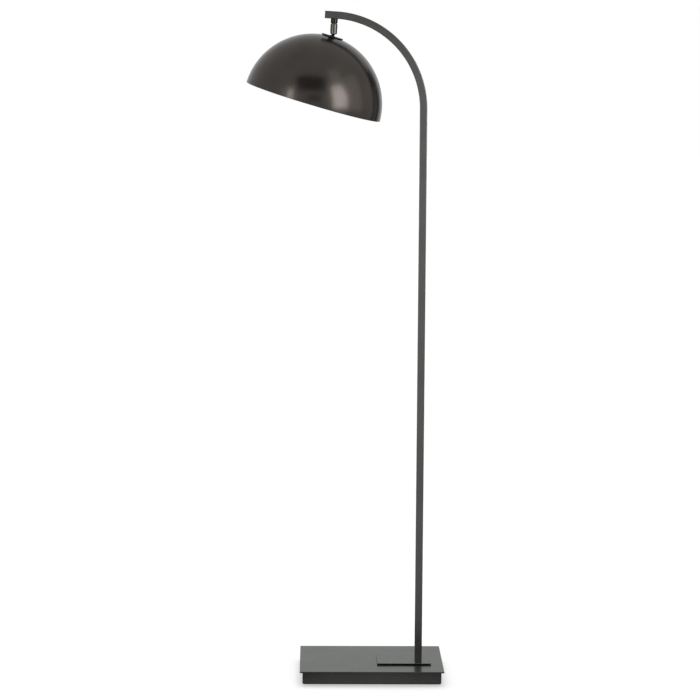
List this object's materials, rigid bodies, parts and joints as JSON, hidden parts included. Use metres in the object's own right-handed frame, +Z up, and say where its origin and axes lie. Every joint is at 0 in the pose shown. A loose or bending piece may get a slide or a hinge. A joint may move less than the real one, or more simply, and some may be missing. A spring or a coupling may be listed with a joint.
{
  "type": "bridge floor lamp",
  "caption": "Bridge floor lamp: flat rectangular base with a raised foot plate, square pole curving over at the top, and a half-sphere metal shade hung from a swivel and ball joint.",
  "frame": {"origin": "middle of the underside of the base, on the floor", "axes": "+Z up along the pole, +X to the right as pictured (from the shade towards the pole), +Y to the back"},
  "size_m": [0.4389, 0.302, 1.4684],
  "materials": {
    "felt": "matte",
    "plated_steel": "zinc plated",
    "iron": "as cast, painted black",
    "bronze_paint": "satin",
    "black_paint": "matte",
    "swivel_metal": "satin, dark bronze plated",
    "shade_metal": "satin, dark bronze lacquer",
    "black_plastic": "matte",
    "ivory_plastic": "matte",
    "nylon": "matte",
    "lead_sheath": "satin",
    "brass": "satin",
    "bulb_metal": "satin",
    "bulb_glass": "gloss",
    "bulb_white": "satin",
    "bulb_opal": "matte"
  },
  "bodies": {
    "stand": {"felt_pad": "felt", "bottom_cover": "plated_steel", "base_skirt": "bronze_paint", "cover_screws": "plated_steel", "base_weight": "iron", "base_top_plate": "bronze_paint", "weight_studs": "plated_steel", "weight_nuts": "plated_steel", "cord_bush": "black_plastic", "terminal_block": "ivory_plastic", "terminal_screws": "brass", "foot_spacer": "black_paint", "foot_plate": "bronze_paint", "pole_plug": "plated_steel", "fixing_nipple": "plated_steel", "fixing_washer": "plated_steel", "fixing_nut": "plated_steel", "pole_tube": "bronze_paint", "arm_end_cap": "bronze_paint", "swivel_collar": "swivel_metal", "swivel_spigot": "plated_steel", "spigot_nut": "plated_steel", "friction_washer": "black_plastic", "supply_leads": "lead_sheath"},
    "barrel": {"swivel_barrel": "swivel_metal", "barrel_cap": "plated_steel", "ball_seat": "nylon", "disc_springs": "plated_steel", "barrel_leads": "lead_sheath"},
    "shade_head": {"shade": "shade_metal", "crown_disc": "shade_metal", "ball_stud": "swivel_metal", "crown_washer": "plated_steel", "crown_nut": "plated_steel", "holder_cap": "brass", "holder_shell": "brass", "holder_liner": "black_plastic", "holder_core": "black_plastic", "holder_terminals": "brass", "screw_shell": "brass", "centre_contact": "brass", "bulb_contact": "bulb_metal", "bulb_insulator": "bulb_glass", "bulb_screw_cap": "bulb_metal", "bulb_neck": "bulb_white", "bulb_board": "bulb_metal", "bulb_diffuser": "bulb_opal", "head_leads": "lead_sheath"},
    "switch_knob": {"switch_shaft": "brass", "switch_knob": "black_plastic"}
  },
  "joints": [
    {"name": "swivel", "type": "hinge", "parent": "stand", "child": "barrel", "pos_m": [-0.0913, -0.018, 1.42211], "axis": [0.0523, 0, 0.9986], "range_deg": [-90.5, 109.5]},
    {"name": "tilt", "type": "hinge", "parent": "barrel", "child": "shade_head", "pos_m": [-0.0913, -0.018, 1.42211], "axis": [0.1648, 0.9863, -0.0086], "range_deg": [-13.35, 31.65]},
    {"name": "switch_turn", "type": "hinge", "parent": "shade_head", "child": "switch_knob", "pos_m": [-0.10462, -0.03635, 1.38773], "axis": [-0.1648, -0.9863, 0.0086], "continuous": true}
  ]
}
